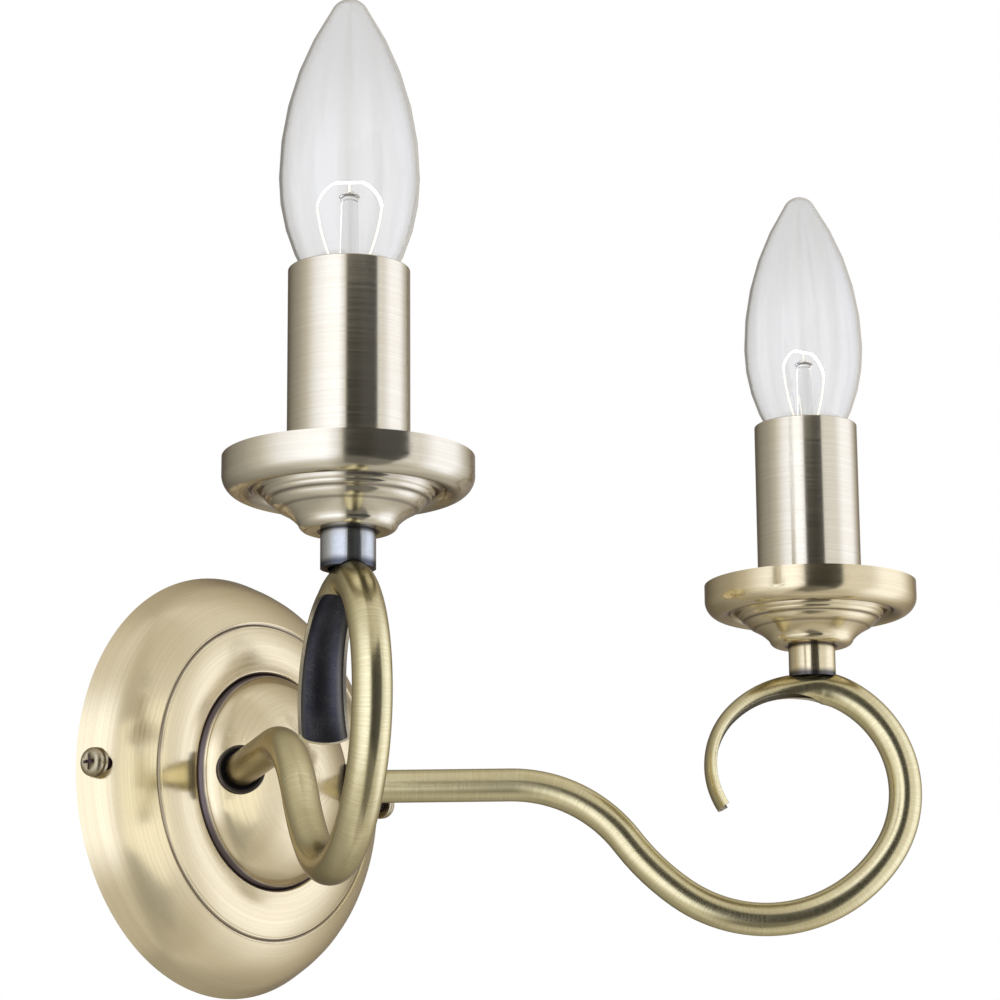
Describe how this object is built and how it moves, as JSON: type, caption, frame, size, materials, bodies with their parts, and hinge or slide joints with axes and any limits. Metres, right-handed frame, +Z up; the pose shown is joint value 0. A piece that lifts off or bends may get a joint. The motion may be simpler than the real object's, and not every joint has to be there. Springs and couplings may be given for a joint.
{
  "type": "double arm wall light",
  "caption": "Wall light: a round domed canopy, scrolled tube arms, drip pans, candle sleeves and clear candle bulbs.",
  "frame": {"origin": "centre of the canopy's back, in the wall plane, on the cable entry's axis", "axes": "+Z up, +Y into the wall, +X to the right for someone facing the wall"},
  "size_m": [0.2664, 0.1653, 0.236],
  "materials": {
    "brass": "brushed and lacquered pale antique brass",
    "sleeve": "circumferentially brushed pale brass tube",
    "dark_brass": "darkened brass",
    "zinc": "zinc plated steel",
    "glass": "clear blown glass",
    "nickel": "nickel plated",
    "filament": "tungsten",
    "black": "black glass insulator",
    "bakelite": "white moulded plastic",
    "housing": "natural moulded polyamide",
    "insert": "plain brass",
    "live": "brown wire insulation",
    "neutral": "blue wire insulation",
    "earth": "green and yellow wire insulation"
  },
  "bodies": {
    "fitting": {"arm_collar_left": "brass", "arm_collar_right": "brass", "arm_left": "brass", "arm_nut_left": "zinc", "arm_nut_right": "zinc", "arm_right": "brass", "arm_washer_left": "zinc", "arm_washer_right": "zinc", "canopy": "brass", "connector_housing": "housing", "connector_inserts": "insert", "connector_screws": "zinc", "drip_pan_left": "brass", "drip_pan_right": "brass", "earth_screw": "zinc", "earth_tag": "zinc", "earth_washer": "zinc", "ferrule_left": "dark_brass", "ferrule_right": "dark_brass", "lampholder_contact_left": "insert", "lampholder_contact_right": "insert", "lampholder_left": "bakelite", "lampholder_right": "bakelite", "lampholder_shell_left": "nickel", "lampholder_shell_right": "nickel", "lampholder_terminals_left": "insert", "lampholder_terminals_right": "insert", "nipple_left": "zinc", "nipple_right": "zinc", "pan_nut_left": "zinc", "pan_nut_right": "zinc", "pan_washer_left": "zinc", "pan_washer_right": "zinc", "wall_bracket": "zinc", "wire_earth": "earth", "wire_live_left": "live", "wire_live_right": "live", "wire_neutral_left": "neutral", "wire_neutral_right": "neutral"},
    "bulb_left": {"bulb_cap_left": "nickel", "bulb_contact_left": "nickel", "bulb_filament_left": "filament", "bulb_glass_left": "glass", "bulb_insulator_left": "black", "bulb_leads_left": "nickel", "bulb_stem_left": "glass"},
    "bulb_right": {"bulb_cap_right": "nickel", "bulb_contact_right": "nickel", "bulb_filament_right": "filament", "bulb_glass_right": "glass", "bulb_insulator_right": "black", "bulb_leads_right": "nickel", "bulb_stem_right": "glass"},
    "sleeve_left": {"candle_sleeve_left": "sleeve"},
    "sleeve_right": {"candle_sleeve_right": "sleeve"},
    "screw_left": {"side_screw_left": "brass", "side_washer_left": "brass"},
    "screw_right": {"side_screw_right": "brass", "side_washer_right": "brass"}
  },
  "joints": [
    {"name": "bulb_left_out", "type": "slide", "parent": "fitting", "child": "bulb_left", "axis": [0, 0, 1], "range_m": [0, 0.03]},
    {"name": "sleeve_left_lift", "type": "slide", "parent": "fitting", "child": "sleeve_left", "axis": [0, 0, 1], "range_m": [0, 0.0045]},
    {"name": "screw_left_out", "type": "slide", "parent": "fitting", "child": "screw_left", "axis": [-1, 0, 0], "range_m": [0, 0.012]},
    {"name": "bulb_right_out", "type": "slide", "parent": "fitting", "child": "bulb_right", "axis": [0, 0, 1], "range_m": [0, 0.03]},
    {"name": "sleeve_right_lift", "type": "slide", "parent": "fitting", "child": "sleeve_right", "axis": [0, 0, 1], "range_m": [0, 0.0045]},
    {"name": "screw_right_out", "type": "slide", "parent": "fitting", "child": "screw_right", "axis": [1, 0, 0], "range_m": [0, 0.012]}
  ]
}
